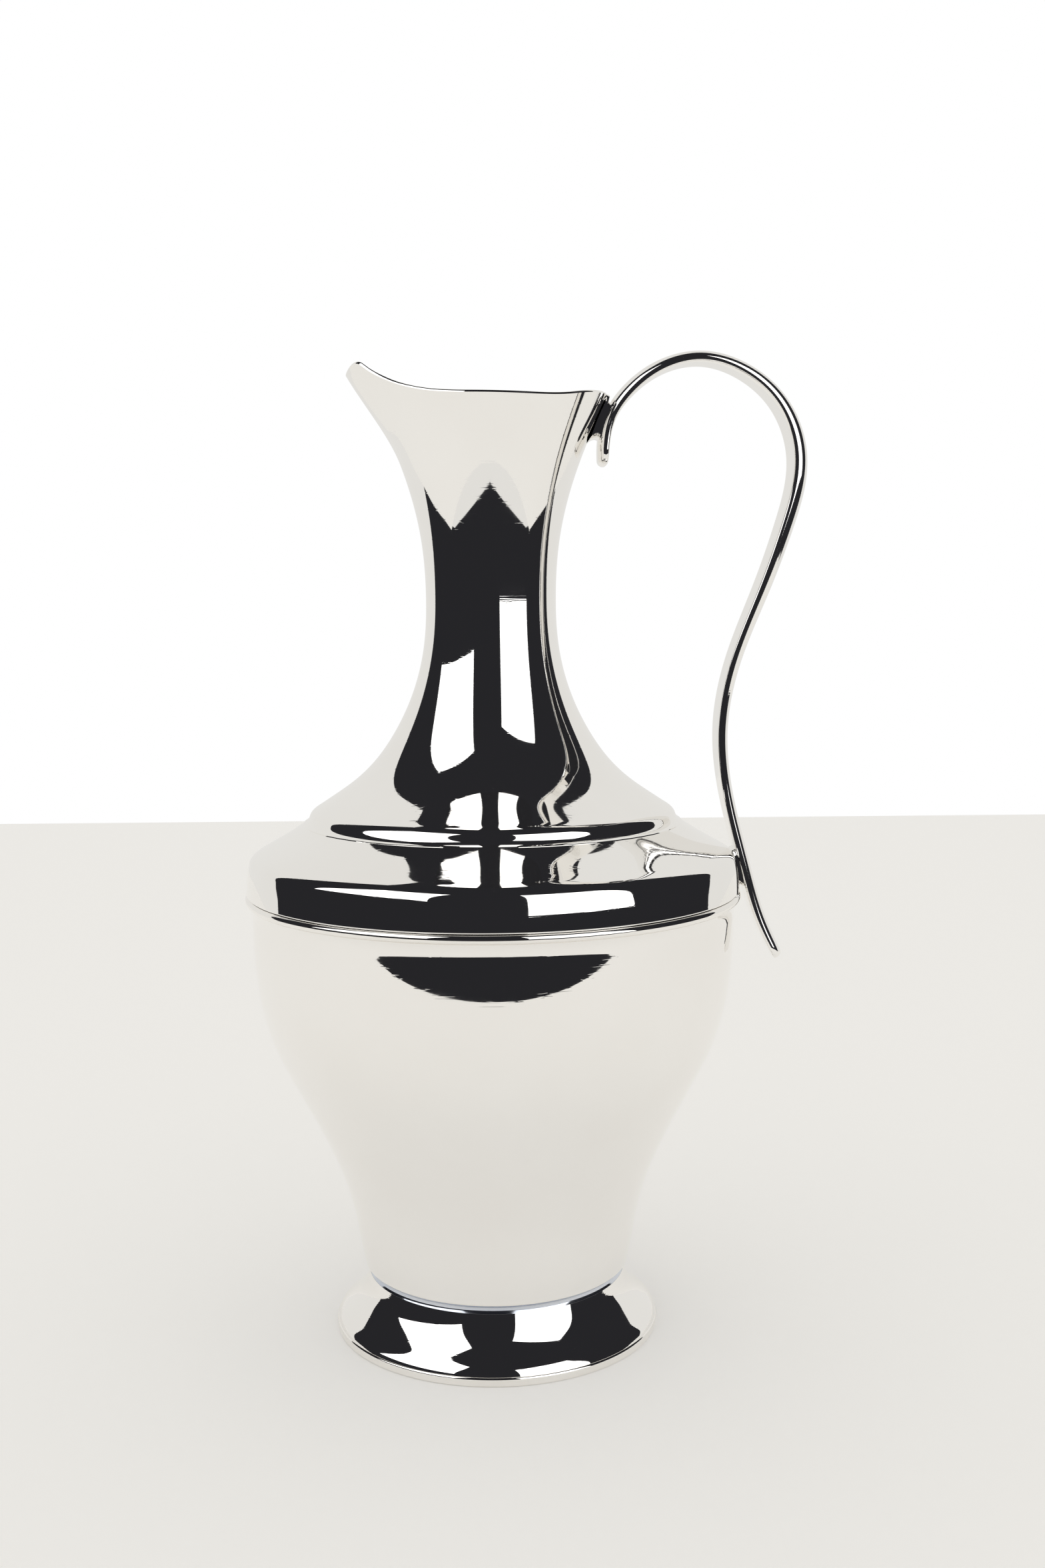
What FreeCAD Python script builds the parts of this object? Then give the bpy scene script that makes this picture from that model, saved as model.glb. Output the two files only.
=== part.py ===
import FreeCAD, Part
import math
import os
import Sketcher

# A polished silver ewer (water pitcher), about 300 mm tall, in millimetres.
#
# Frame: +Z is up along the vessel's axis, the table is Z = 0, the spout points along -X
# and the handle stands on the +X side, so XZ is the plane of symmetry.
#
# The vessel is raised from sheet and soldered together: a foot on a flat wire, a collar,
# a bowl with its own bottom, a shoulder that laps over the bowl's rim, a half-round wire
# over that lap, and a trumpet neck whose mouth is drawn out into a spout.  The handle is
# a cast strap of D section.  It passes both of its joints with a free tail, and meets the
# neck and the shoulder through two small pads.

SIZES = {
    # sheet and solder joints
    "wall": 0.9,
    # flat wire under the foot
    "foot_wire_radius": 50.2,
    "foot_wire_height": 2.9,
    "foot_wire_width": 3.0,
    # spun foot
    "foot_edge_radius": 49.9,
    "foot_round_radius": 7.7,
    "foot_flank_radius": 47.6,
    "foot_flank_height": 6.0,
    "foot_throat_radius": 40.6,
    "foot_throat_height": 15.0,
    "foot_top_radius": 39.7,
    "foot_top_height": 17.4,
    # collar between foot and bowl
    "collar_cove_radius": 1.9,
    "collar_bore_radius": 37.0,
    "collar_top_radius": 40.2,
    # bowl
    "bowl_bottom_height": 20.1,
    "bowl_heel_round": 1.5,
    "bowl_heel_radius": 41.4,
    "bowl_heel_height": 21.6,
    "bowl_stem_radius": 43.9,
    "bowl_stem_height": 34.0,
    "bowl_flare_radius": 51.5,
    "bowl_flare_height": 58.0,
    "bowl_waist_radius": 62.7,
    "bowl_waist_height": 80.0,
    "bowl_swell_radius": 71.5,
    "bowl_swell_height": 104.0,
    "bowl_brim_radius": 73.4,
    "bowl_brim_height": 131.0,
    "lap_radius": 74.3,
    "lap_height": 140.0,
    # half-round wire over the lap
    "bead_bottom_height": 134.2,
    "bead_ledge_radius": 74.9,
    "bead_round_radius": 1.9,
    # shoulder
    "shoulder_foot_radius": 75.2,
    "shoulder_foot_height": 137.2,
    "shoulder_band_round": 33.7,
    "shoulder_edge_radius": 74.1,
    "shoulder_edge_height": 145.6,
    "shoulder_slope_radius": 72.2,
    "shoulder_slope_height": 148.2,
    "shoulder_mouth_radius": 55.2,
    "shoulder_mouth_height": 159.45,
    # neck
    "hem_radius": 56.8,
    "hem_height": 158.4,
    "hem_round": 9.8,
    "neck_base_radius": 52.8,
    "neck_base_height": 163.0,
    "neck_skirt_round": 77.3,
    "neck_skirt_radius": 40.3,
    "neck_skirt_height": 172.0,
    "neck_cone_radius": 26.9,
    "neck_cone_height": 190.0,
    "neck_waist_radius": 19.6,
    "neck_waist_height": 220.0,
    "neck_rise_radius": 22.3,
    "neck_rise_height": 250.0,
    "throat_radius": 25.7,
    "throat_height": 262.0,
    "throat_tuck": 0.15,
    "mouth_slope": 0.362,
    "mouth_bend": 0.0023,
    "mouth_blank_height": 298.0,
    "spout_reach": 4.2,
    "spout_nose_radius": 16.0,
    # cut of the mouth, seen from the side
    "rim_back_height": 286.0,
    "rim_sag_at": 10.0,
    "rim_sag_height": 282.7,
    "rim_sag_radius": 187.0,
    "rim_front_at": 24.0,
    "rim_front_height": 285.8,
    "rim_climb_at": 29.0,
    "rim_climb_height": 287.8,
    "rim_lip_at": 37.2,
    "rim_lip_height": 292.8,
    "rim_crest_at": 39.3,
    "rim_crest_height": 293.7,
    "rim_tip_at": 46.0,
    "rim_tip_height": 290.4,
    # handle strap
    "strap_side_share": 0.3,
    # handle pads
    "upper_pad_width": 10.0,
    "upper_pad_bottom": 271.8,
    "upper_pad_top": 285.2,
    "upper_pad_bottom_reach": 34.2,
    "upper_pad_notch_at": 36.0,
    "upper_pad_notch_height": 282.4,
    "lower_pad_width": 10.0,
    "lower_pad_bottom": 135.5,
    "lower_pad_top": 149.4,
    # pitcher's axis to the middle of its overall length
    "axis_offset": 9.8,
}

# Stations along the handle, on the flat face that looks into the loop: distance from the
# vessel's axis, height, width of the strap, thickness of the strap.
STRAP = [
    ("prong_end", 35.2, 264.2, 10.0, 2.4),
    ("prong", 35.5, 268.0, 12.6, 3.5),
    ("prong_root", 36.6, 275.0, 13.2, 4.1),
    ("root", 42.4, 284.8, 13.6, 4.2),
    ("rise", 52.0, 291.9, 14.0, 3.9),
    ("crown", 63.8, 294.4, 14.2, 3.8),
    ("crown_back", 75.5, 290.4, 14.4, 4.1),
    ("turn", 84.5, 282.6, 14.8, 4.5),
    ("swell", 90.2, 266.6, 15.2, 5.0),
    ("grip_top", 87.0, 248.8, 15.2, 4.9),
    ("grip", 80.0, 228.5, 14.8, 4.4),
    ("grip_low", 72.2, 208.0, 14.4, 4.0),
    ("waist", 68.0, 186.0, 14.2, 3.8),
    ("fall", 69.9, 165.0, 14.0, 3.7),
    ("joint", 75.0, 144.0, 13.6, 3.8),
    ("tail", 80.0, 126.7, 13.0, 3.9),
    ("tail_low", 84.3, 117.6, 12.4, 3.6),
    ("tail_end", 86.4, 113.9, 10.0, 2.6),
]
for name, across, up, width, thickness in STRAP:
    SIZES["strap_%s_at" % name] = across
    SIZES["strap_%s_height" % name] = up
    SIZES["strap_%s_width" % name] = width
    SIZES["strap_%s_thickness" % name] = thickness

doc = FreeCAD.newDocument("silver_ewer")
dims = doc.addObject("Spreadsheet::Sheet", "dims")
for row, (alias, number) in enumerate(SIZES.items(), start=1):
    dims.set("A%d" % row, alias)
    dims.set("B%d" % row, str(number))
    dims.setAlias("B%d" % row, alias)
doc.recompute()


class Size:
    """A number from the sheet together with the formula that keeps it up to date."""

    def __init__(self, value, formula=None):
        self.value = float(value)
        self.formula = formula if formula is not None else repr(float(value))

    def __add__(self, other):
        other = as_size(other)
        return Size(self.value + other.value, "(%s + %s)" % (self.formula, other.formula))

    def __sub__(self, other):
        other = as_size(other)
        return Size(self.value - other.value, "(%s - %s)" % (self.formula, other.formula))

    def __mul__(self, other):
        other = as_size(other)
        return Size(self.value * other.value, "(%s * %s)" % (self.formula, other.formula))

    def __truediv__(self, other):
        other = as_size(other)
        return Size(self.value / other.value, "(%s / %s)" % (self.formula, other.formula))


def as_size(thing):
    return thing if isinstance(thing, Size) else Size(thing)


def size(alias):
    return Size(dims.get(alias), "dims." + alias)


def new_body(label):
    """A body that stands on the vessel's axis, axis_offset from the frame's origin."""
    body = doc.addObject("PartDesign::Body", label)
    body.Label = label
    body.setExpression("Placement.Base.x", "-dims.axis_offset")
    return body


def new_sketch(body, name, role="XZ_Plane", offset=None):
    """A sketch on one of the body's own origin planes, moved by offset if one is given."""
    plane = next(item for item in body.Origin.OriginFeatures if item.Role == role)
    sketch = body.newObject("Sketcher::SketchObject", name)
    sketch.AttachmentSupport = [(plane, "")]
    sketch.MapMode = "FlatFace"
    if offset is not None:
        sketch.AttachmentOffset = offset
    return sketch


def pin_point(sketch, geometry, end, across, up):
    """Holds one end of a sketch edge at two formulas."""
    for kind, place in (("DistanceX", across), ("DistanceY", up)):
        index = sketch.addConstraint(Sketcher.Constraint(kind, -1, 1, geometry, end, place.value))
        sketch.setExpression("Constraints[%d]" % index, place.formula)


def chain_turns(points, edges):
    """How far each edge turns, to the left, while it runs from its start to its end."""
    turns = []
    heading = 0.0
    for start, finish, edge in zip(points, points[1:], edges):
        chord = finish - start
        along = math.atan2(chord.y, chord.x)
        if edge == "line":
            turn = 0.0
        elif edge == "tangent":
            turn = math.remainder(along - heading, 2 * math.pi)
        else:
            turn = -edge[2] * math.asin(chord.Length / 2 / as_size(edge[1]).value)
        turns.append(turn)
        heading = along + turn
    return turns


def draw_chain(sketch, corners, edges):
    """Draws edges from corner to corner; returns the two open ends.

    An edge is "line"; ("arc", radius, side), where side is +1 if the arc bulges to the
    left of its run and -1 if to the right; or "tangent", an arc that leaves the edge
    before it without a kink.
    """
    corners = [(as_size(across), as_size(up)) for across, up in corners]
    points = [FreeCAD.Vector(across.value, up.value, 0) for across, up in corners]
    drawn = []
    for start, finish, turn in zip(points, points[1:], chain_turns(points, edges)):
        if turn == 0.0:
            geometry = sketch.addGeometry(Part.LineSegment(start, finish))
        else:
            chord = finish - start
            left = FreeCAD.Vector(-chord.y, chord.x, 0).normalize()
            middle = (start + finish) * 0.5 - left * (0.5 * chord.Length * math.tan(turn / 2))
            ends = (start, middle, finish) if turn > 0 else (finish, middle, start)
            geometry = sketch.addGeometry(Part.Arc(*ends))
        drawn.append((geometry, 1, 2) if turn >= 0 else (geometry, 2, 1))
    for i, (geometry, first, _) in enumerate(drawn):
        pin_point(sketch, geometry, first, *corners[i])
        if i:
            before, _, last = drawn[i - 1]
            kind = "Tangent" if edges[i] == "tangent" else "Coincident"
            sketch.addConstraint(Sketcher.Constraint(kind, before, last, geometry, first))
        if isinstance(edges[i], tuple):
            radius = as_size(edges[i][1])
            index = sketch.addConstraint(Sketcher.Constraint("Radius", geometry, radius.value))
            sketch.setExpression("Constraints[%d]" % index, radius.formula)
    pin_point(sketch, drawn[-1][0], drawn[-1][2], *corners[-1])
    return (drawn[0][0], drawn[0][1]), (drawn[-1][0], drawn[-1][2])


def bridge(sketch, end, other_end):
    """Joins two open ends with a straight line."""
    start = sketch.getPoint(*end)
    finish = sketch.getPoint(*other_end)
    geometry = sketch.addGeometry(Part.LineSegment(start, finish))
    sketch.addConstraint(Sketcher.Constraint("Coincident", geometry, 1, *end))
    sketch.addConstraint(Sketcher.Constraint("Coincident", geometry, 2, *other_end))


def draw_outline(sketch, corners, edges):
    """Closed outline whose last side, back to the first corner, is straight."""
    first, last = draw_chain(sketch, corners, edges)
    bridge(sketch, last, first)


def draw_sheet(sketch, corners, edges):
    """Section of a sheet: the outer chain, the same chain one wall inwards, and two ends.

    The chain runs up the outside, so inwards is to the left; both ends are cut level.
    """
    wall = size("wall")
    points = [FreeCAD.Vector(as_size(across).value, as_size(up).value, 0) for across, up in corners]
    turns = chain_turns(points, edges)
    chords = [finish - start for start, finish in zip(points, points[1:])]
    along = [math.atan2(chord.y, chord.x) for chord in chords]
    inner = []
    for i, (across, up) in enumerate(corners):
        before = along[i - 1] + turns[i - 1] if i else None
        after = along[i] - turns[i] if i < len(along) else None
        if before is None and corners[0][0] == 0:
            step = (0.0, 1.0)
        elif before is None or after is None:
            heading = after if before is None else before
            step = (-1.0 / math.sin(heading), 0.0)
        else:
            share = 1.0 + math.cos(after - before)
            step = (-(math.sin(before) + math.sin(after)) / share,
                    (math.cos(before) + math.cos(after)) / share)
        inner.append((as_size(across) + wall * step[0], as_size(up) + wall * step[1]))
    inner_edges = [
        ("arc", as_size(edge[1]) + wall * edge[2], edge[2]) if isinstance(edge, tuple) else edge
        for edge in edges
    ]
    outer_ends = draw_chain(sketch, corners, edges)
    inner_ends = draw_chain(sketch, inner, inner_edges)
    bridge(sketch, outer_ends[0], inner_ends[0])
    bridge(sketch, outer_ends[1], inner_ends[1])


def revolve(body, name, sketch):
    turned = body.newObject("PartDesign::Revolution", name)
    turned.Profile = sketch
    turned.ReferenceAxis = (sketch, ["V_Axis"])
    turned.Angle = 360.0
    doc.recompute()
    return turned


def turned_sheet(label, corners, edges):
    body = new_body(label)
    sketch = new_sketch(body, label + "_section")
    draw_sheet(sketch, corners, edges)
    revolve(body, label + "_turned", sketch)
    return body


def turned_ring(label, corners, edges):
    body = new_body(label)
    sketch = new_sketch(body, label + "_section")
    draw_outline(sketch, corners, edges)
    revolve(body, label + "_turned", sketch)
    return body


def foot_rim_wire():
    radius, width, height = size("foot_wire_radius"), size("foot_wire_width"), size("foot_wire_height")
    corners = [(radius - width, 0), (radius, 0), (radius, height), (radius - width, height)]
    return turned_ring("foot_rim_wire", corners, ["line"] * 3)


def foot():
    corners = [
        (size("foot_edge_radius"), size("foot_wire_height")),
        (size("foot_flank_radius"), size("foot_flank_height")),
        (size("foot_throat_radius"), size("foot_throat_height")),
        (size("foot_top_radius"), size("foot_top_height")),
    ]
    edges = [("arc", size("foot_round_radius"), -1), "tangent", "tangent"]
    return turned_sheet("foot", corners, edges)


def foot_collar():
    corners = [
        (size("collar_bore_radius"), size("foot_top_height")),
        (size("foot_top_radius"), size("foot_top_height")),
        (size("collar_top_radius"), size("bowl_bottom_height")),
        (size("collar_bore_radius"), size("bowl_bottom_height")),
    ]
    edges = ["line", ("arc", size("collar_cove_radius"), 1), "line"]
    return turned_ring("foot_collar", corners, edges)


def lower_body():
    corners = [
        (0, size("bowl_bottom_height")),
        (size("collar_top_radius"), size("bowl_bottom_height")),
        (size("bowl_heel_radius"), size("bowl_heel_height")),
        (size("bowl_stem_radius"), size("bowl_stem_height")),
        (size("bowl_flare_radius"), size("bowl_flare_height")),
        (size("bowl_waist_radius"), size("bowl_waist_height")),
        (size("bowl_swell_radius"), size("bowl_swell_height")),
        (size("bowl_brim_radius"), size("bowl_brim_height")),
        (size("lap_radius"), size("bead_bottom_height")),
        (size("lap_radius"), size("lap_height")),
    ]
    edges = ["line", ("arc", size("bowl_heel_round"), -1), "line", "tangent", "tangent",
             "tangent", "tangent", "tangent", "line"]
    return turned_sheet("lower_body", corners, edges)


def shoulder_bead_wire():
    corners = [
        (size("lap_radius"), size("bead_bottom_height")),
        (size("bead_ledge_radius"), size("bead_bottom_height")),
        (size("bead_ledge_radius"), size("shoulder_foot_height")),
        (size("lap_radius"), size("shoulder_foot_height")),
    ]
    edges = ["line", ("arc", size("bead_round_radius"), -1), "line"]
    return turned_ring("shoulder_bead_wire", corners, edges)


def shoulder():
    corners = [
        (size("shoulder_foot_radius"), size("shoulder_foot_height")),
        (size("shoulder_edge_radius"), size("shoulder_edge_height")),
        (size("shoulder_slope_radius"), size("shoulder_slope_height")),
        (size("shoulder_mouth_radius"), size("shoulder_mouth_height")),
    ]
    edges = [("arc", size("shoulder_band_round"), -1), "tangent", "line"]
    return turned_sheet("shoulder", corners, edges)


def mouth_radius(height):
    """The trumpet widens faster and faster above the throat."""
    climb = height - size("throat_height")
    return size("throat_radius") + climb * size("mouth_slope") + climb * climb * size("mouth_bend")


def spout_share(height):
    """0 where the spout starts to grow out of the trumpet, 1 where it is fully drawn out."""
    start = size("throat_height").value
    part = (height - start) / (size("mouth_blank_height").value - start)
    return 0.02 + 0.98 * part * part * (3 - 2 * part)


def mouth_section(body, name, height, inset):
    """Level section of the mouth: a round and a smaller nose towards -X, joined by tangents."""
    level = as_size(height)
    share = spout_share(height)
    placing = FreeCAD.Placement(FreeCAD.Vector(0, 0, height), FreeCAD.Rotation())
    sketch = new_sketch(body, name, "XY_Plane", placing)
    radius = mouth_radius(level) - inset
    nose = size("spout_nose_radius") - inset
    offset = radius + size("spout_reach") * share - nose
    spread = math.acos((radius.value - nose.value) / offset.value)
    centre = FreeCAD.Vector(-offset.value, 0, 0)
    up, origin = FreeCAD.Vector(0, 0, 1), FreeCAD.Vector(0, 0, 0)
    round_circle = Part.Circle(origin, up, radius.value)
    nose_circle = Part.Circle(centre, up, nose.value)
    back = sketch.addGeometry(
        Part.ArcOfCircle(round_circle, spread - math.pi, math.pi - spread))
    front = sketch.addGeometry(Part.ArcOfCircle(nose_circle, math.pi - spread, math.pi + spread))
    left = sketch.addGeometry(
        Part.LineSegment(sketch.Geometry[back].EndPoint, sketch.Geometry[front].StartPoint))
    right = sketch.addGeometry(
        Part.LineSegment(sketch.Geometry[front].EndPoint, sketch.Geometry[back].StartPoint))
    for first, second in ((back, left), (left, front), (front, right), (right, back)):
        sketch.addConstraint(Sketcher.Constraint("Tangent", first, 2, second, 1))
    sketch.addConstraint(Sketcher.Constraint("Coincident", back, 3, -1, 1))
    pin_point(sketch, front, 3, offset * -1, Size(0))
    for arc, held in ((back, radius), (front, nose)):
        index = sketch.addConstraint(Sketcher.Constraint("Radius", arc, held.value))
        sketch.setExpression("Constraints[%d]" % index, held.formula)
    return sketch


def loft(body, kind, name, sections):
    lofted = body.newObject("PartDesign::" + kind, name)
    lofted.Profile = sections[0]
    lofted.Sections = sections[1:]
    lofted.Ruled = False
    doc.recompute()
    return lofted


def neck():
    """Turned hem and trumpet, with a lofted mouth that is cut along a wavy rim."""
    body = new_body("neck")
    sketch = new_sketch(body, "neck_section")
    corners = [
        (size("hem_radius"), size("hem_height")),
        (size("neck_base_radius"), size("neck_base_height")),
        (size("neck_skirt_radius"), size("neck_skirt_height")),
        (size("neck_cone_radius"), size("neck_cone_height")),
        (size("neck_waist_radius"), size("neck_waist_height")),
        (size("neck_rise_radius"), size("neck_rise_height")),
        (size("throat_radius"), size("throat_height")),
    ]
    edges = [
        ("arc", size("hem_round"), -1),
        ("arc", size("neck_skirt_round"), 1),
        "tangent", "tangent", "tangent", "tangent",
    ]
    draw_sheet(sketch, corners, edges)
    revolve(body, "neck_turned", sketch)

    bottom, top = size("throat_height").value, size("mouth_blank_height").value
    count = 7
    heights = [bottom + (top - bottom) * i / (count - 1) for i in range(count)]
    tucks = [size("throat_tuck")] + [Size(0)] * (count - 1)
    outer = [
        mouth_section(body, "mouth_outer_%d" % i, height, tuck)
        for i, (height, tuck) in enumerate(zip(heights, tucks))
    ]
    loft(body, "AdditiveLoft", "mouth_outside", outer)
    inner = [
        mouth_section(body, "mouth_inner_%d" % i, height, tuck + size("wall") * 1.08)
        for i, (height, tuck) in enumerate(zip(heights, tucks))
    ]
    loft(body, "SubtractiveLoft", "mouth_inside", inner)

    cut = new_sketch(body, "rim_line")
    corners = [
        (50, size("mouth_blank_height") + 5),
        (45, size("rim_back_height")),
        (size("rim_sag_at"), size("rim_sag_height")),
        (size("rim_front_at") * -1, size("rim_front_height")),
        (size("rim_climb_at") * -1, size("rim_climb_height")),
        (size("rim_lip_at") * -1, size("rim_lip_height")),
        (size("rim_crest_at") * -1, size("rim_crest_height")),
        (size("rim_tip_at") * -1, size("rim_tip_height")),
        (-50, size("rim_tip_height")),
        (-50, size("mouth_blank_height") + 5),
    ]
    edges = ["line", ("arc", size("rim_sag_radius"), -1), "tangent", "tangent", "tangent",
             "tangent", "tangent", "line", "line"]
    draw_outline(cut, corners, edges)
    rim = body.newObject("PartDesign::Pocket", "mouth_cut")
    rim.Profile = cut
    rim.Type = 0
    rim.Length = 120
    rim.Midplane = True
    doc.recompute()
    return body


def strap_heading(index, points):
    """Heading of the strap at a station, from a smooth curve through all of them."""
    curve = Part.BSplineCurve()
    curve.interpolate(points)
    heading = FreeCAD.Vector(*curve.tangent(curve.parameter(points[index]))[0])
    return heading.normalize()


def strap_section(body, index, points):
    """D section: flat towards the loop, domed away from it."""
    name = "strap_" + STRAP[index][0]
    heading = strap_heading(index, points)
    across = FreeCAD.Vector(0, 1, 0)
    outwards = heading.cross(across)
    turn = FreeCAD.Rotation(across, outwards, across.cross(outwards), "XYZ")
    placing = FreeCAD.Placement(points[index], turn)
    sketch = new_sketch(body, name, "XY_Plane", placing)
    sketch.setExpression("AttachmentOffset.Base.x", "dims.%s_at" % name)
    sketch.setExpression("AttachmentOffset.Base.z", "dims.%s_height" % name)
    width, thickness = size(name + "_width"), size(name + "_thickness")
    half = width * 0.5
    side = thickness * size("strap_side_share")
    rise = thickness - side
    dome = (half * half + rise * rise) / (rise * 2)
    corners = [(half, side), (half * -1, side), (half * -1, 0), (half, 0)]
    draw_outline(sketch, corners, [("arc", dome, -1), "line", "line"])
    return sketch


def handle():
    """Strap swept through its sections, which all stand across one smooth curve."""
    body = new_body("handle")
    points = [FreeCAD.Vector(station[1], 0, station[2]) for station in STRAP]
    sections = [strap_section(body, index, points) for index in range(len(STRAP))]
    path = new_sketch(body, "strap_path")
    curve = Part.BSplineCurve()
    curve.interpolate([FreeCAD.Vector(point.x, point.z, 0) for point in points])
    spline = path.addGeometry(curve)
    for end, (name, *_) in ((1, STRAP[0]), (2, STRAP[-1])):
        pin_point(path, spline, end, size("strap_%s_at" % name), size("strap_%s_height" % name))
    doc.recompute()
    strap = body.newObject("PartDesign::AdditivePipe", "strap")
    strap.Spine = path
    strap.Profile = sections[0]
    strap.Sections = sections[1:]
    strap.Mode = "Binormal"
    strap.Binormal = FreeCAD.Vector(0, 1, 0)
    strap.Transformation = "Multisection"
    doc.recompute()
    return body


def upper_pad_outline(sketch):
    """Web from inside the neck's sheet to inside the strap, with a notch left at the top."""
    sunk = size("wall") * 0.7
    bottom, top = size("upper_pad_bottom"), size("upper_pad_top")
    corners = [
        (mouth_radius(bottom) - sunk, bottom),
        (size("upper_pad_bottom_reach"), bottom),
        (size("upper_pad_notch_at"), size("upper_pad_notch_height")),
        (mouth_radius(top) + sunk * 0.2, top),
        (mouth_radius(top) - sunk, top),
    ]
    draw_outline(sketch, corners, [("arc", Size(7), 1), "line", "line", "line"])
    return size("upper_pad_width")


def lower_pad_outline(sketch):
    """Filler from inside the shoulder's sheet to inside the strap."""
    face = size("shoulder_foot_radius") - size("wall") * 0.6
    bottom, top = size("lower_pad_bottom"), size("lower_pad_top")
    corners = [
        (face, bottom + 2),
        (face + 3.5, bottom),
        (face + 1.0, top - 2.5),
        (face - 1.0, top),
        (face - 2.0, top - 2),
        (face - 0.9, top - 4.9),
    ]
    draw_outline(sketch, corners, [("arc", Size(3.5), 1), "line", "line", "line", "line"])
    return size("lower_pad_width")


def handle_pad(label, outline, shell, strap):
    """A pad of solder and plate, cut to fit the vessel's skin and the strap."""
    body = new_body(label + "_blank")
    sketch = new_sketch(body, label + "_outline")
    width = outline(sketch)
    blank = body.newObject("PartDesign::Pad", label + "_pad")
    blank.Profile = sketch
    blank.Midplane = True
    blank.Length = width.value
    blank.setExpression("Length", width.formula)
    doc.recompute()
    against_shell = doc.addObject("Part::Cut", label + "_against_vessel")
    against_shell.Base = body
    against_shell.Tool = shell
    fitted = doc.addObject("Part::Cut", label)
    fitted.Base = against_shell
    fitted.Tool = strap
    fitted.Label = label
    doc.recompute()
    return fitted


def check_and_export(parts):
    for item in doc.Objects:
        if "Invalid" in item.State or "Error" in item.State:
            raise RuntimeError("%s did not compute: %s" % (item.Label, item.State))
    for part in parts:
        if part.Shape.isNull() or not part.Shape.isValid() or len(part.Shape.Solids) != 1:
            raise RuntimeError("%s is not one sound solid" % part.Label)
    os.makedirs("parts", exist_ok=True)
    for part in parts:
        part.Shape.exportStep("parts/%s.step" % part.Label)
        box = part.Shape.BoundBox
        print("%-24s %9.1f mm3  solids %d  x %.1f..%.1f  y %.1f..%.1f  z %.1f..%.1f" % (
            part.Label, part.Shape.Volume, len(part.Shape.Solids),
            box.XMin, box.XMax, box.YMin, box.YMax, box.ZMin, box.ZMax))


PARTS = [
    foot_rim_wire(),
    foot(),
    foot_collar(),
    lower_body(),
    shoulder_bead_wire(),
    shoulder(),
]
PARTS.append(neck())
PARTS.append(handle())
PARTS.append(handle_pad("upper_handle_bracket", upper_pad_outline, PARTS[6], PARTS[7]))
PARTS.append(handle_pad("lower_handle_stub", lower_pad_outline, PARTS[5], PARTS[7]))
doc.recompute()
check_and_export(PARTS)
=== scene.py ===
import math

import bpy
import numpy as np
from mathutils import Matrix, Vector


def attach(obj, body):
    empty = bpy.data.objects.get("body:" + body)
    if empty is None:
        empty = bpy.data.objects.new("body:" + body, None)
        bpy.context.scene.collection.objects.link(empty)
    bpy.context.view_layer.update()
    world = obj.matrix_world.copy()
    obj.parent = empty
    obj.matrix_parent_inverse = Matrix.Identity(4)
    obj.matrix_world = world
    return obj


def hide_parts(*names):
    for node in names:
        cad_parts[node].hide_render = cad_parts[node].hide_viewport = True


MM = 0.001
AXIS_X = -9.8       # the vessel's axis in the frame, mm
WALL = 0.9          # sheet, mm
AROUND = 224        # columns round a turned piece

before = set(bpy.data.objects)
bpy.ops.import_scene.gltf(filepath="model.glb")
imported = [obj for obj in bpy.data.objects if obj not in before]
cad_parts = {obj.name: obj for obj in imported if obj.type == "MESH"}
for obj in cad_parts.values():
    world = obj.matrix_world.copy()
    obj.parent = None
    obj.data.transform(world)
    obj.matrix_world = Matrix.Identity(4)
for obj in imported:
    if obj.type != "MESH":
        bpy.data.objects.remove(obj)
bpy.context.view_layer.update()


# ---------------------------------------------------------------- curves

def spline(points, step=1.0, start=None, end=None):
    """Smooth curve through the points; start and end are optional headings."""
    p = np.array(points, float)
    h = np.linalg.norm(np.diff(p, axis=0), axis=1)
    n = len(p)
    a, b = np.zeros((n, n)), np.zeros_like(p)
    for i in range(1, n - 1):
        a[i, i - 1:i + 2] = h[i], 2 * (h[i - 1] + h[i]), h[i - 1]
        b[i] = 3 * (h[i] * (p[i] - p[i - 1]) / h[i - 1] + h[i - 1] * (p[i + 1] - p[i]) / h[i])
    a[0, :2], b[0] = (2, 1), 3 * (p[1] - p[0]) / h[0]
    a[-1, -2:], b[-1] = (1, 2), 3 * (p[-1] - p[-2]) / h[-1]
    if start is not None:
        a[0, :2], b[0] = (1, 0), np.array(start, float)
    if end is not None:
        a[-1, -2:], b[-1] = (0, 1), np.array(end, float)
    m = np.linalg.solve(a, b)
    out = []
    for i in range(n - 1):
        count = max(1, int(round(h[i] / step)))
        for s in np.arange(count) / count:
            out.append((2 * s**3 - 3 * s**2 + 1) * p[i] + (s**3 - 2 * s**2 + s) * h[i] * m[i]
                       + (3 * s**2 - 2 * s**3) * p[i + 1] + (s**3 - s**2) * h[i] * m[i + 1])
    out.append(p[-1])
    return np.array(out)


def join(*runs):
    """One outline from several runs; a point shared by two runs is kept once."""
    out = [np.array(runs[0][0], float)]
    for run in runs:
        for point in run:
            if np.linalg.norm(np.array(point) - out[-1]) > 1e-6:
                out.append(np.array(point, float))
    return np.array(out)


def inset(outline, distance):
    """The outline moved to the left of its run."""
    ahead = np.gradient(outline, axis=0)
    ahead /= np.linalg.norm(ahead, axis=1)[:, None]
    return outline + distance * np.stack([-ahead[:, 1], ahead[:, 0]], axis=1)


def turn_round(centre, radius, first, last, count=8):
    """Points on an arc, from one angle to another in degrees."""
    angles = np.radians(np.linspace(first, last, count + 1))
    return np.stack([centre[0] + radius * np.cos(angles), centre[1] + radius * np.sin(angles)], axis=1)


# ---------------------------------------------------------------- meshes

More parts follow.
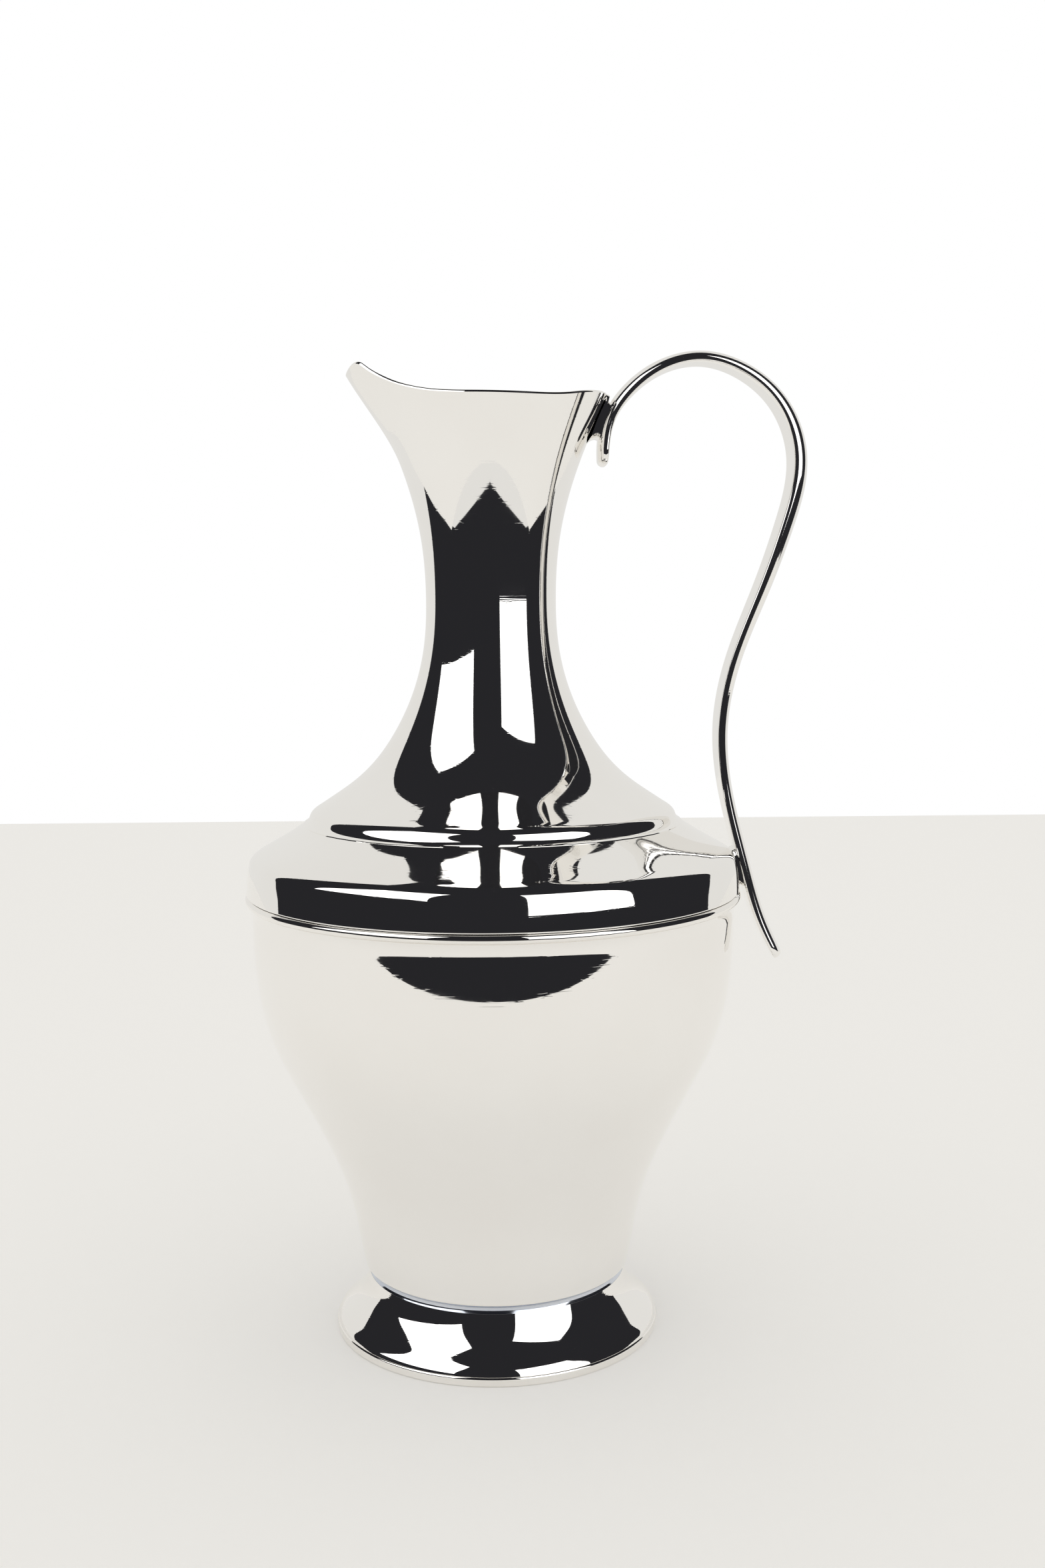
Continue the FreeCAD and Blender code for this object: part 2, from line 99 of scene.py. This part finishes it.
def make_piece(name, vertices, faces, sharp=30):
    mesh = bpy.data.meshes.new(name)
    mesh.from_pydata([tuple(v * MM) for v in np.array(vertices, float)], [], faces)
    mesh.validate()
    mesh.polygons.foreach_set("use_smooth", [True] * len(mesh.polygons))
    mesh.set_sharp_from_angle(angle=math.radians(sharp))
    piece = bpy.data.objects.new(name, mesh)
    bpy.context.collection.objects.link(piece)
    return piece


def tube_faces(rows, columns, close_rows):
    """Quads of a grid that is closed along its columns, and along its rows if asked."""
    faces = []
    for i in range(rows if close_rows else rows - 1):
        for j in range(columns):
            k = (j + 1) % columns
            a, b = i * columns, ((i + 1) % rows) * columns
            faces.append((a + j, a + k, b + k, b + j))
    return faces


def revolve(name, outline, closed=True):
    """Turns an outline of (radius, height) about the vessel's axis.

    A closed outline makes a ring.  An open one starts and ends on the axis.
    """
    angles = np.linspace(0, 2 * math.pi, AROUND, endpoint=False)
    rings = outline if closed else outline[1:-1]
    vertices = [
        (AXIS_X + radius * math.cos(angle), radius * math.sin(angle), height)
        for radius, height in rings
        for angle in angles
    ]
    faces = tube_faces(len(rings), AROUND, closed)
    if not closed:
        for height, row in ((outline[0][1], 0), (outline[-1][1], len(rings) - 1)):
            pole = len(vertices)
            vertices.append((AXIS_X, 0, height))
            ring = [row * AROUND + j for j in range(AROUND)]
            for j in range(AROUND):
                pair = (ring[j], ring[(j + 1) % AROUND])
                faces.append((pole, pair[1], pair[0]) if row == 0 else (pole, pair[0], pair[1]))
    return make_piece(name, vertices, faces)


def sheet_loop(outer):
    """Closed section of a sheet whose outside is given."""
    return np.concatenate([outer, inset(outer, WALL)[::-1]])


# ---------------------------------------------------------------- the vessel

def foot_rim_wire():
    eased = join([(47.2, 0.3), (47.5, 0)], [(49.6, 0)], turn_round((49.6, 0.6), 0.6, -90, 0, 4),
                 [(50.2, 1.6)], turn_round((49.4, 2.1), 0.8, 0, 90, 5), [(47.4, 2.9), (47.2, 2.7)])
    return revolve("foot_rim_wire_smooth", eased)


def foot():
    outer = join(
        spline([(49.85, 2.9), (49.55, 3.7), (48.6, 5.0), (46.5, 6.95), (44.3, 9.05), (42.6, 11.05),
                (41.35, 13.2), (40.4, 15.6), (39.8, 17.4)], 0.5),
    )
    return revolve("foot_smooth", sheet_loop(outer))


def foot_collar():
    cove = spline([(39.75, 17.4), (39.35, 18.3), (39.5, 19.3), (40.5, 20.2)], 0.25)
    return revolve("foot_collar_smooth", join([(37.0, 17.4)], cove, [(37.0, 20.2)]))


def lower_body():
    outer = join(
        [(0, 20.1), (14, 20.1), (28, 20.1), (39.4, 20.1), (40.2, 20.12)],
        turn_round((40.35, 21.15), 1.03, -90, -8, 6),
        spline([(41.4, 21.4), (42.2, 25.0), (44.6, 38.0), (51.5, 58.0), (60.5, 76.0), (68.2, 92.0),
                (72.35, 109.0), (73.5, 130.0)], 1.0, end=(0, 1)),
        spline([(73.5, 130.0), (73.62, 131.6), (74.05, 133.2), (74.6, 134.3)], 0.4, start=(0, 1)),
        [(74.3, 134.6), (74.3, 137.5), (74.3, 140.0)],
    )
    inner = inset(outer, WALL)[::-1]
    inner[-1] = (0, 21.0)
    return revolve("lower_body_smooth", np.concatenate([outer, inner]), closed=False)


def shoulder_bead_wire():
    roll = turn_round((74.2, 135.75), 1.38, -75, 75, 12)
    return revolve("shoulder_bead_wire_smooth", join([(73.9, 134.4)], roll, [(73.9, 137.1)]))


def shoulder():
    outer = join(
        turn_round((74.75, 137.65), 0.45, -90, 4, 4),
        spline([(75.2, 137.65), (74.98, 140.8), (74.68, 143.6), (74.18, 146.1), (73.8, 147.2),
                (72.9, 148.3), (71.5, 149.3), (69.6, 150.35)], 0.4, start=(-0.06, 1.0)),
        spline([(69.6, 150.35), (65.2, 152.85), (60.6, 155.65), (55.2, 159.45)], 1.5),
    )
    return revolve("shoulder_smooth", sheet_loop(outer))


HEM = spline([(57.6, 158.0), (56.5, 158.75), (55.85, 159.7), (55.35, 160.9), (54.35, 162.0),
              (52.75, 163.05)], 0.35)
TRUMPET = spline([(52.75, 163.05), (48.3, 166.0), (42.6, 170.0), (36.15, 176.0), (29.1, 186.0),
                  (23.6, 198.0), (20.3, 212.0), (19.6, 226.0), (20.7, 242.0), (24.95, 260.0),
                  (31.2, 276.0), (41.5, 297.5)], 1.0)
THROAT = 260.0      # where the mouth starts to leave the round

# the drawn spout: heights and depths in mm, angles in degrees from the spout's middle
SPOUT_START, SPOUT_RISE = 265.0, 30.0
NOSE_OUT, NOSE_SPREAD = 4.3, 16.5
CHEEK_IN, CHEEK_ANGLE, CHEEK_SPREAD = 0.55, 37.0, 13.0
LIP = 0.45          # half of the sheet, as the rim is rounded over

RIM = spline([(-46.0, 289.0), (-42.6, 291.9), (-41.0, 293.1), (-38.7, 293.7), (-36.4, 292.3),
              (-31.8, 289.2), (-25.5, 286.2), (-17.3, 284.0), (-2.6, 283.0), (12.3, 282.75),
              (22.6, 283.3), (28.5, 284.4), (35.4, 285.3), (42.0, 285.6)], 0.5)


def mouth_radius(angle, height):
    """Radius of the mouth; the angle is measured from the spout's middle."""
    radius = np.interp(height, TRUMPET[:, 1], TRUMPET[:, 0])
    drawn = np.clip((height - SPOUT_START) / SPOUT_RISE, 0, 1)
    drawn = drawn * drawn * (3 - 2 * drawn)
    degrees = np.degrees(angle)
    nose = NOSE_OUT * np.exp(-(degrees / NOSE_SPREAD) ** 2)
    cheeks = CHEEK_IN * np.exp(-((np.abs(degrees) - CHEEK_ANGLE) / CHEEK_SPREAD) ** 2)
    return radius + drawn * (nose - cheeks)


def rim_height(angle):
    """Height at which the mouth meets the wavy rim line, found by repeated averaging."""
    height = np.full_like(angle, 286.0)
    for _ in range(25):
        across = -mouth_radius(angle, height) * np.cos(angle)
        height = 0.5 * height + 0.5 * np.interp(across, RIM[:, 0], RIM[:, 1])
    return height


def neck():
    angle = np.linspace(-math.pi, math.pi, AROUND, endpoint=False)
    top = rim_height(angle)
    low = join(HEM, TRUMPET[TRUMPET[:, 1] < THROAT])
    rows = [(np.full(AROUND, radius), np.full(AROUND, height)) for radius, height in low]
    for share in np.linspace(0, 1, 36):
        height = THROAT + share * (top - LIP - THROAT)
        rows.append((mouth_radius(angle, height), height))
    outer_rows = len(rows)
    slope = np.gradient(np.stack([row[0] for row in rows]), axis=0)
    rise = np.gradient(np.stack([row[1] for row in rows]), axis=0)
    length = np.hypot(slope, rise)
    inner = [(rows[i][0] - WALL * rise[i] / length[i], rows[i][1] + WALL * slope[i] / length[i])
             for i in range(outer_rows)]
    edge_out, edge_in = rows[-1], inner[-1]
    for share in (0.15, 0.35, 0.65, 0.85):
        crown = LIP * math.sin(math.pi * share)
        rows.append((edge_out[0] * (1 - share) + edge_in[0] * share,
                     edge_out[1] * (1 - share) + edge_in[1] * share + crown))
    rows += inner[::-1]
    vertices = []
    for radius, height in rows:
        x = AXIS_X - radius * np.cos(angle)
        y = -radius * np.sin(angle)
        vertices += list(zip(x, y, np.broadcast_to(height, x.shape)))
    return make_piece("neck_smooth", vertices, tube_faces(len(rows), AROUND, True), sharp=40)


# ---------------------------------------------------------------- the handle

# flat face of the strap: distance from the axis, height, width, thickness
STRAP = [
    (35.2, 264.2, 12.6, 3.1), (35.6, 269.0, 12.9, 3.6), (37.0, 276.6, 13.2, 3.8),
    (42.4, 284.8, 13.6, 4.0), (52.0, 291.9, 14.0, 3.9), (63.8, 294.3, 14.2, 3.8),
    (75.5, 290.4, 14.4, 4.1), (84.5, 282.4, 14.8, 4.5), (90.1, 266.6, 15.2, 5.0),
    (87.0, 248.8, 15.2, 4.9), (80.0, 228.5, 14.8, 4.4), (72.2, 208.0, 14.4, 4.0),
    (68.0, 186.0, 14.2, 3.8), (69.9, 165.0, 14.0, 3.7), (75.0, 144.0, 13.6, 3.8),
    (80.0, 126.7, 13.0, 3.9), (86.4, 113.9, 12.6, 3.3),
]


TIP_LENGTH = 4.5    # the tails narrow over this length, mm
TIP_EDGE = 1.5      # and are thinned over this one, mm


def strap_section(width, thickness, count=40):
    """D section as (across, out): nearly flat at out = 0 and domed the other way."""
    points = []
    for angle in np.linspace(0, 2 * math.pi, count, endpoint=False):
        c, s = math.cos(angle), math.sin(angle)
        if s >= 0:
            across = math.copysign(abs(c) ** 0.9, c)
            out = 0.3 + 0.7 * s ** 0.95
        else:
            across = math.copysign(abs(c) ** 0.32, c)
            out = 0.3 - 0.3 * abs(s) ** 0.4
        points.append((across * width / 2, out * thickness))
    return np.array(points)


def handle():
    """The strap, swept through its stations; both tails narrow to rounded tips."""
    stations = np.array(STRAP)
    path = spline(stations, 1.2)
    run = np.r_[0, np.cumsum(np.linalg.norm(np.diff(path[:, :2], axis=0), axis=1))]
    eased = (1 - np.cos(np.linspace(0, math.pi / 2, 9))) * TIP_LENGTH
    middle = run[(run > TIP_LENGTH) & (run < run[-1] - TIP_LENGTH)]
    places = np.unique(np.concatenate([eased, middle, run[-1] - eased]))
    dense = np.stack([np.interp(places, run, path[:, k]) for k in range(4)], axis=1)
    ahead = np.gradient(path[:, :2], run, axis=0)
    ahead = np.stack([np.interp(places, run, ahead[:, k]) for k in range(2)], axis=1)
    ahead /= np.linalg.norm(ahead, axis=1)[:, None]
    vertices, count = [], 40
    for place, (x, z, width, thickness), (dx, dz) in zip(places, dense, ahead):
        to_end = min(place, run[-1] - place)
        plan = math.sqrt(max(0.0, 1 - max(0.0, 1 - to_end / TIP_LENGTH) ** 2))
        thin = math.sqrt(max(0.0, 1 - max(0.0, 1 - to_end / TIP_EDGE) ** 2))
        width = width * (0.36 + 0.64 * plan)
        section = strap_section(width, thickness, count)
        section[:, 1] = (section[:, 1] - 0.5 * thickness) * (0.04 + 0.96 * thin) + 0.5 * thickness
        section[:, 0] *= 0.55 + 0.45 * thin
        for across, out in section:
            vertices.append((AXIS_X + x - dz * out, across, z + dx * out))
    faces = tube_faces(len(places), count, False)
    last = (len(places) - 1) * count
    faces.append(tuple(range(count)))
    faces.append(tuple(last + k for k in reversed(range(count))))
    return make_piece("handle_smooth", vertices, faces, sharp=50)


def pad(name, outline, width):
    """Small web: an outline in the plane of symmetry, thickest in the middle of its width."""
    rows, count = 15, len(outline)
    middle = outline.mean(axis=0)
    vertices = []
    for side in np.linspace(-1, 1, rows):
        shrink = 1 - 0.28 * abs(side) ** 5
        for point in outline:
            x, z = middle + (point - middle) * shrink
            vertices.append((AXIS_X + x, side * width / 2, z))
    faces = tube_faces(rows, count, False)
    last = (rows - 1) * count
    faces.append(tuple(range(count)))
    faces.append(tuple(last + k for k in reversed(range(count))))
    return make_piece(name, vertices, faces, sharp=50)


def upper_bracket():
    outline = join(
        spline([(28.9, 271.0), (30.4, 272.2), (31.8, 272.4), (33.4, 270.6)], 0.4),
        spline([(33.4, 270.6), (34.6, 275.0), (36.6, 282.0)], 1.0),
        spline([(36.6, 282.0), (35.7, 283.2), (35.9, 285.0)], 0.4),
        spline([(35.9, 285.0), (35.2, 285.4), (34.6, 284.6)], 0.3),
        spline([(34.6, 284.6), (31.7, 278.4), (29.0, 271.2)], 1.5),
    )[:-1]
    return pad("upper_handle_bracket_smooth", outline, 10.5)


def lower_stub():
    outline = join(
        spline([(74.6, 138.4), (75.9, 137.4), (77.6, 136.2), (79.0, 135.2)], 0.4),
        spline([(79.0, 135.2), (77.4, 141.0), (75.2, 149.0)], 1.0),
        spline([(75.2, 149.0), (73.7, 149.0), (72.2, 147.9)], 0.4),
        spline([(72.2, 147.9), (73.6, 144.0), (74.4, 138.8)], 1.0),
    )[:-1]
    return pad("lower_handle_stub_smooth", outline, 10.5)


# ---------------------------------------------------------------- materials

def nodes_of(material):
    """The material's nodes, links and principled shader."""
    material.use_nodes = True
    tree = material.node_tree
    return tree.nodes, tree.links, tree.nodes["Principled BSDF"]


def ramp(nodes, links, source, low, high, dark=(0, 0, 0, 1), light=(1, 1, 1, 1)):
    """Colour that runs from dark to light while the source runs from low to high."""
    node = nodes.new("ShaderNodeValToRGB")
    node.color_ramp.elements[0].position, node.color_ramp.elements[0].color = low, dark
    node.color_ramp.elements[1].position, node.color_ramp.elements[1].color = high, light
    links.new(source, node.inputs["Fac"])
    return node.outputs["Color"]


def noise(nodes, links, scale, stretch, detail=3.0, turn=(0, 0, 0)):
    """Noise in the piece's own space; stretch squeezes it along x, y and z."""
    place = nodes.new("ShaderNodeTexCoord")
    mapping = nodes.new("ShaderNodeMapping")
    mapping.inputs["Scale"].default_value = stretch
    mapping.inputs["Rotation"].default_value = [math.radians(a) for a in turn]
    links.new(place.outputs["Object"], mapping.inputs["Vector"])
    node = nodes.new("ShaderNodeTexNoise")
    node.inputs["Scale"].default_value = scale
    node.inputs["Detail"].default_value = detail
    links.new(mapping.outputs["Vector"], node.inputs["Vector"])
    return node.outputs["Fac"]


def silver(name, tint, shade, low_rough, high_rough, scratches):
    """Polished silver: slow tint and gloss changes, spin lines and hair scratches."""
    material = bpy.data.materials.new(name)
    nodes, links, shader = nodes_of(material)
    shader.inputs["Metallic"].default_value = 1.0
    cloud = noise(nodes, links, 22.0, (1, 1, 1), 4.0)
    links.new(ramp(nodes, links, cloud, 0.35, 0.7, (*shade, 1), (*tint, 1)),
              shader.inputs["Base Color"])
    wear = noise(nodes, links, 60.0, (1, 1, 2.5), 6.0)
    gloss = ramp(nodes, links, wear, 0.4, 0.75, (low_rough,) * 3 + (1,), (high_rough,) * 3 + (1,))
    links.new(gloss, shader.inputs["Roughness"])
    height = None
    for stretch, turn in scratches:
        hair = noise(nodes, links, 900.0, stretch, 2.0, turn)
        lines = ramp(nodes, links, hair, 0.62, 0.68)
        if height is None:
            height = lines
            continue
        add = nodes.new("ShaderNodeMath")
        add.operation = "ADD"
        links.new(height, add.inputs[0])
        links.new(lines, add.inputs[1])
        height = add.outputs["Value"]
    bump = nodes.new("ShaderNodeBump")
    bump.inputs["Strength"].default_value = 0.09
    bump.inputs["Distance"].default_value = 0.00001
    links.new(height, bump.inputs["Height"])
    links.new(bump.outputs["Normal"], shader.inputs["Normal"])
    return material


SPIN_LINES = ((0.03, 0.03, 1.0), (0, 0, 0))
HAIR_A = ((0.04, 0.6, 1.0), (0, 35, 20))
HAIR_B = ((0.05, 0.8, 1.0), (25, -50, 10))
HAIR_UP = ((1.0, 1.0, 0.04), (0, 8, 0))

MATERIALS = {
    "polished_sheet": silver("silver_sheet", (0.955, 0.945, 0.925), (0.935, 0.92, 0.895),
                             0.018, 0.045, [SPIN_LINES, HAIR_A, HAIR_B]),
    "polished_wire": silver("silver_wire", (0.955, 0.94, 0.915), (0.925, 0.905, 0.87),
                            0.02, 0.06, [SPIN_LINES, HAIR_A]),
    # painted shade: the collar's silver is made darker and bluish, standing in for the dark reflection
    # in the cove under the body
    "blued_collar": silver("silver_collar_painted_shade", (0.74, 0.77, 0.83), (0.6, 0.64, 0.72),
                           0.08, 0.2, [SPIN_LINES, HAIR_A]),
    "cast_strap": silver("silver_strap", (0.95, 0.94, 0.92), (0.92, 0.905, 0.88),
                         0.02, 0.06, [HAIR_UP, HAIR_A]),
}

PIECES = [
    (foot_rim_wire, "foot_rim_wire", "polished_wire"),
    (foot, "foot", "polished_sheet"),
    (foot_collar, "foot_collar", "blued_collar"),
    (lower_body, "lower_body", "polished_sheet"),
    (shoulder_bead_wire, "shoulder_bead_wire", "polished_wire"),
    (shoulder, "shoulder", "polished_sheet"),
    (neck, "neck", "polished_sheet"),
    (handle, "handle", "cast_strap"),
    (upper_bracket, "upper_handle_bracket", "cast_strap"),
    (lower_stub, "lower_handle_stub", "cast_strap"),
]
for build, node, slot in PIECES:
    piece = build()
    piece.data.materials.append(MATERIALS[slot])
    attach(piece, "root")
    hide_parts(node)


# ---------------------------------------------------------------- studio

def glow(name, colour, strength):
    """A material that only gives light."""
    material = bpy.data.materials.new(name)
    material.use_nodes = True
    nodes, links = material.node_tree.nodes, material.node_tree.links
    nodes.clear()
    lamp = nodes.new("ShaderNodeEmission")
    lamp.inputs["Color"].default_value = (*colour, 1)
    lamp.inputs["Strength"].default_value = strength
    links.new(lamp.outputs[0], nodes.new("ShaderNodeOutputMaterial").inputs["Surface"])
    return material


DOME = 6.0          # metres from the pitcher to the unlit half
WINDOWS = DOME * 0.95           # and to the windows
AMBIENT = (0.79, 0.78, 0.755, 1)
BACKDROP = (1, 1, 1, 1)         # what the camera sees beyond the floor
PAPER = (0.95, 0.94, 0.92, 1)
FLOOR_SIDE = 0.9    # the floor's half width, front and back edge, in metres
FLOOR_FRONT = -0.40
FLOOR_BACK = 1.2

# the unlit half's lower edge: turn away from the front and elevation, in degrees
UNLIT_TURNS = (0, 60, 110, 140)
UNLIT_EDGE = (-30, -15, -15, 60)
OVERHEAD = 89.9


def on_dome(azimuth, elevation, distance):
    """Azimuth 0 is towards -Y and grows towards +X; both angles are in degrees."""
    a, e = math.radians(azimuth), math.radians(elevation)
    way = Vector((math.sin(a) * math.cos(e), -math.cos(a) * math.cos(e), math.sin(e)))
    return way * distance + Vector((0, 0, 0.2))


def hang(name, points, faces, material):
    """A card that shows only in reflections."""
    mesh = bpy.data.meshes.new(name)
    mesh.from_pydata(points, [], faces)
    mesh.materials.append(material)
    board = bpy.data.objects.new(name, mesh)
    bpy.context.collection.objects.link(board)
    board.visible_camera = False
    board.visible_diffuse = False
    board.visible_shadow = False


def window(name, turns, climbs, material):
    """A soft window between two azimuths and two elevations."""
    (left, right), (low, high) = turns, climbs
    corners = ((left, low), (right, low), (right, high), (left, high))
    points = [on_dome(azimuth, elevation, WINDOWS) for azimuth, elevation in corners]
    hang(name, points, [(0, 1, 2, 3)], material)


def dark_half(material):
    """The unlit half of the studio: it starts below the horizon in front and high up behind."""
    azimuths = np.arange(-180, 181, 5)
    shares = np.linspace(0, 1, 16)
    points, faces = [], []
    for azimuth in azimuths:
        low = np.interp(abs(azimuth), UNLIT_TURNS, UNLIT_EDGE)
        points += [on_dome(azimuth, low + share * (OVERHEAD - low), DOME) for share in shares]
    count = len(shares)
    for i in range(len(azimuths) - 1):
        for j in range(count - 1):
            a = i * count + j
            faces.append((a, a + 1, a + count + 1, a + count))
    hang("unlit_half", points, faces, material)


def studio():
    """Pale floor, even pale light, an unlit half in front and two soft windows in it."""
    world = bpy.data.worlds.new("studio")
    world.use_nodes = True
    bpy.context.scene.world = world
    nodes, links = world.node_tree.nodes, world.node_tree.links
    nodes.clear()
    ways = nodes.new("ShaderNodeLightPath")
    seen, around = nodes.new("ShaderNodeBackground"), nodes.new("ShaderNodeBackground")
    seen.inputs["Color"].default_value = BACKDROP
    around.inputs["Color"].default_value = AMBIENT
    mix = nodes.new("ShaderNodeMixShader")
    links.new(ways.outputs["Is Camera Ray"], mix.inputs[0])
    links.new(around.outputs[0], mix.inputs[1])
    links.new(seen.outputs[0], mix.inputs[2])
    links.new(mix.outputs[0], nodes.new("ShaderNodeOutputWorld").inputs["Surface"])

    mesh = bpy.data.meshes.new("floor")
    corners = [(-FLOOR_SIDE, FLOOR_FRONT, 0), (FLOOR_SIDE, FLOOR_FRONT, 0),
               (FLOOR_SIDE, FLOOR_BACK, 0), (-FLOOR_SIDE, FLOOR_BACK, 0)]
    mesh.from_pydata(corners, [], [(0, 1, 2, 3)])
    floor = bpy.data.objects.new("floor", mesh)
    bpy.context.collection.objects.link(floor)
    paper = bpy.data.materials.new("white_paper")
    shader = nodes_of(paper)[2]
    shader.inputs["Base Color"].default_value = PAPER
    shader.inputs["Roughness"].default_value = 0.9
    shader.inputs["Emission Color"].default_value = (1, 1, 1, 1)
    shader.inputs["Emission Strength"].default_value = 0.1
    mesh.materials.append(paper)

    dark_half(glow("unlit", (0.02, 0.02, 0.023), 1.0))
    white = glow("window", (1, 1, 1), 1.6)
    window("window_left", (-90, -30), (15, 60), white)
    window("window_right", (15, 65), (0, 50), white)


studio()


# ---------------------------------------------------------------- camera

def camera():
    """Stands in front, a little above the shoulder, and looks slightly down."""
    data = bpy.data.cameras.new("camera")
    data.sensor_width = 36.0
    data.lens = 38.608
    data.clip_start, data.clip_end = 0.01, 50.0
    cam = bpy.data.objects.new("camera", data)
    bpy.context.collection.objects.link(cam)
    cam.location = Vector((AXIS_X + 0.23, -511.23, 225.34)) * MM
    side, pitch, roll = math.radians(1.0), 0.11, -0.0069
    ahead = Vector((math.sin(side) * math.cos(pitch), math.cos(side) * math.cos(pitch),
                    -math.sin(pitch)))
    cam.rotation_euler = ahead.to_track_quat("-Z", "Y").to_euler("XYZ")
    cam.rotation_euler.rotate_axis("Z", roll)
    bpy.context.scene.camera = cam


camera()
bpy.context.scene.view_settings.view_transform = "Standard"
